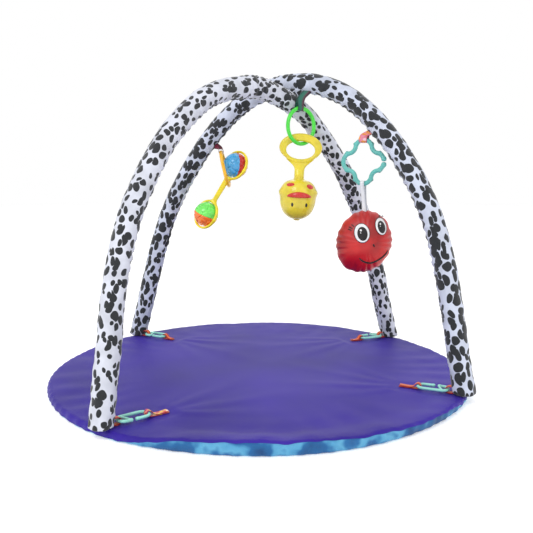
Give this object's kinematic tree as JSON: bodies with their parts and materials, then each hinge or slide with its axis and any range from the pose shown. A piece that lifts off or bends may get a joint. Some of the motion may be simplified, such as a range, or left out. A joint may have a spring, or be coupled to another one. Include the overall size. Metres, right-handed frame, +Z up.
{
  "type": "activity play gym",
  "caption": "Baby play gym: round padded mat, crossed fabric-sleeved arches clipped to it, and hanging ring, duck rattle, ball rattle, teether and plush toys.",
  "frame": {"origin": "on the floor under the middle of the mat", "axes": "+Z up, +X to the right and -Y towards the front of the gym"},
  "size_m": [0.7199, 0.72, 0.5297],
  "materials": {
    "purple_top": "smooth polyester",
    "blue_base": "printed cotton",
    "wadding": "loose polyester fill",
    "spotted_sleeve": "printed polyester",
    "foam": "open foam",
    "pole": "extruded",
    "mint_plastic": "moulded",
    "red_ribbon": "woven ribbon",
    "print_ribbon": "woven printed ribbon",
    "green_ribbon": "woven ribbon",
    "maroon_ribbon": "satin ribbon",
    "pink_ribbon": "woven printed ribbon",
    "white_ribbon": "satin ribbon",
    "green_plastic": "moulded",
    "yellow_plastic": "moulded",
    "bright_yellow": "moulded",
    "red_plastic": "moulded",
    "black_plastic": "moulded",
    "blue_plastic": "moulded",
    "lime_plastic": "moulded",
    "orange_plastic": "moulded",
    "teal_plastic": "moulded",
    "bead": "moulded",
    "red_satin": "satin"
  },
  "bodies": {
    "mat": {"mat_top_cover": "purple_top", "mat_base_cover": "blue_base", "mat_wadding": "wadding", "mat_tab_front_left": "print_ribbon", "mat_tab_front_right": "print_ribbon", "mat_tab_back_left": "print_ribbon", "mat_tab_back_right": "print_ribbon"},
    "arch_a": {"arch_a_sleeve": "spotted_sleeve", "arch_a_foam": "foam", "arch_a_pole_one": "pole", "arch_a_pole_two": "pole", "arch_a_ferrule": "pole", "arch_a_end_caps": "pole", "foot_ribbon_front_left": "red_ribbon", "foot_ribbon_back_right": "red_ribbon"},
    "arch_b": {"arch_b_sleeve": "spotted_sleeve", "arch_b_foam": "foam", "arch_b_pole_one": "pole", "arch_b_pole_two": "pole", "arch_b_ferrule": "pole", "arch_b_end_caps": "pole", "foot_ribbon_front_right": "red_ribbon", "foot_ribbon_back_left": "red_ribbon", "crossing_tie": "spotted_sleeve"},
    "ring": {"green_ring": "green_plastic", "ring_ribbon": "green_ribbon"},
    "duck": {"duck_handle": "yellow_plastic", "duck_head_front": "yellow_plastic", "duck_head_back": "yellow_plastic", "duck_beak": "red_plastic", "duck_cheeks": "red_plastic", "duck_eyes": "black_plastic", "duck_beads": "bead"},
    "hook": {"hook_link": "bright_yellow", "barbell_ribbon": "maroon_ribbon"},
    "barbell": {"barbell_frame": "bright_yellow", "upper_ball_axle": "bright_yellow", "lower_ball_axle": "bright_yellow"},
    "upper_ball": {"upper_ball_blue": "blue_plastic", "upper_ball_red": "red_plastic", "upper_ball_beads": "bead"},
    "lower_ball": {"lower_ball_green": "lime_plastic", "lower_ball_orange": "orange_plastic", "lower_ball_beads": "bead"},
    "teether": {"teether_ring": "teal_plastic", "teether_ribbon": "pink_ribbon"},
    "plush": {"plush_cover_front": "red_satin", "plush_cover_back": "red_satin", "plush_stuffing": "wadding", "plush_ribbon": "white_ribbon"},
    "clip_front_left": {"link_front_left": "mint_plastic"},
    "clip_front_right": {"link_front_right": "mint_plastic"},
    "clip_back_left": {"link_back_left": "mint_plastic"},
    "clip_back_right": {"link_back_right": "mint_plastic"}
  },
  "joints": [
    {"name": "arch_a_fold", "type": "hinge", "parent": "mat", "child": "arch_a", "pos_m": [0.0623, 0.0837, 0.47], "axis": [0, 0, 1], "range_deg": [-8, 0], "deforming": ["foot_ribbon_front_left", "foot_ribbon_back_right", "crossing_tie"]},
    {"name": "arch_b_fold", "type": "hinge", "parent": "mat", "child": "arch_b", "pos_m": [0.0623, 0.0837, 0.51], "axis": [0, 0, 1], "range_deg": [0, 8], "deforming": ["foot_ribbon_front_right", "foot_ribbon_back_left", "crossing_tie"]},
    {"name": "ring_swing", "type": "hinge", "parent": "arch_b", "child": "ring", "pos_m": [0.0735, 0.056, 0.498], "axis": [0.7547, 0.6561, 0], "range_deg": [-10, 2], "deforming": ["ring_ribbon"]},
    {"name": "duck_swing", "type": "hinge", "parent": "ring", "child": "duck", "pos_m": [0.0735, 0.056, 0.404], "axis": [0.7547, 0.6561, 0], "range_deg": [-7, 7]},
    {"name": "hook_swing", "type": "hinge", "parent": "arch_b", "child": "hook", "pos_m": [-0.08, 0.18, 0.402], "axis": [0, 1, 0], "range_deg": [-12, 6]},
    {"name": "barbell_tilt", "type": "hinge", "parent": "hook", "child": "barbell", "pos_m": [-0.065, 0.18, 0.327], "axis": [0, 1, 0], "range_deg": [0, 6]},
    {"name": "upper_ball_spin", "type": "hinge", "parent": "barbell", "child": "upper_ball", "pos_m": [-0.052, 0.18, 0.367], "axis": [0.6331, -0.6691, -0.3891], "continuous": true},
    {"name": "lower_ball_spin", "type": "hinge", "parent": "barbell", "child": "lower_ball", "pos_m": [-0.111, 0.18, 0.271], "axis": [0.6331, -0.6691, -0.3891], "continuous": true},
    {"name": "teether_swing", "type": "hinge", "parent": "arch_b", "child": "teether", "pos_m": [0.179, 0.008, 0.422], "axis": [0.8746, -0.4848, 0], "range_deg": [-10, 10]},
    {"name": "plush_swing", "type": "hinge", "parent": "teether", "child": "plush", "pos_m": [0.179, 0.008, 0.334], "axis": [0.8746, -0.4848, 0], "range_deg": [-10, 10]},
    {"name": "clip_lift_front_left", "type": "hinge", "parent": "mat", "child": "clip_front_left", "pos_m": [-0.14769, -0.24759, 0.0172], "axis": [-0.6428, 0.766, 0], "range_deg": [0, 50], "deforming": ["foot_ribbon_front_left"]},
    {"name": "clip_lift_front_right", "type": "hinge", "parent": "mat", "child": "clip_front_right", "pos_m": [0.25906, -0.11395, 0.0172], "axis": [-0.3746, -0.9272, 0], "range_deg": [0, 50], "deforming": ["foot_ribbon_front_right"]},
    {"name": "clip_lift_back_left", "type": "hinge", "parent": "mat", "child": "clip_back_left", "pos_m": [-0.20125, 0.1991, 0.0172], "axis": [0.4695, 0.8829, 0], "range_deg": [0, 50], "deforming": ["foot_ribbon_back_left"]},
    {"name": "clip_lift_back_right", "type": "hinge", "parent": "mat", "child": "clip_back_right", "pos_m": [0.20225, 0.1981, 0.0172], "axis": [0.4695, -0.8829, 0], "range_deg": [0, 50], "deforming": ["foot_ribbon_back_right"]}
  ],
  "couplings": [
    {"joint": "arch_b_fold", "follows": "arch_a_fold", "ratio": -1}
  ]
}
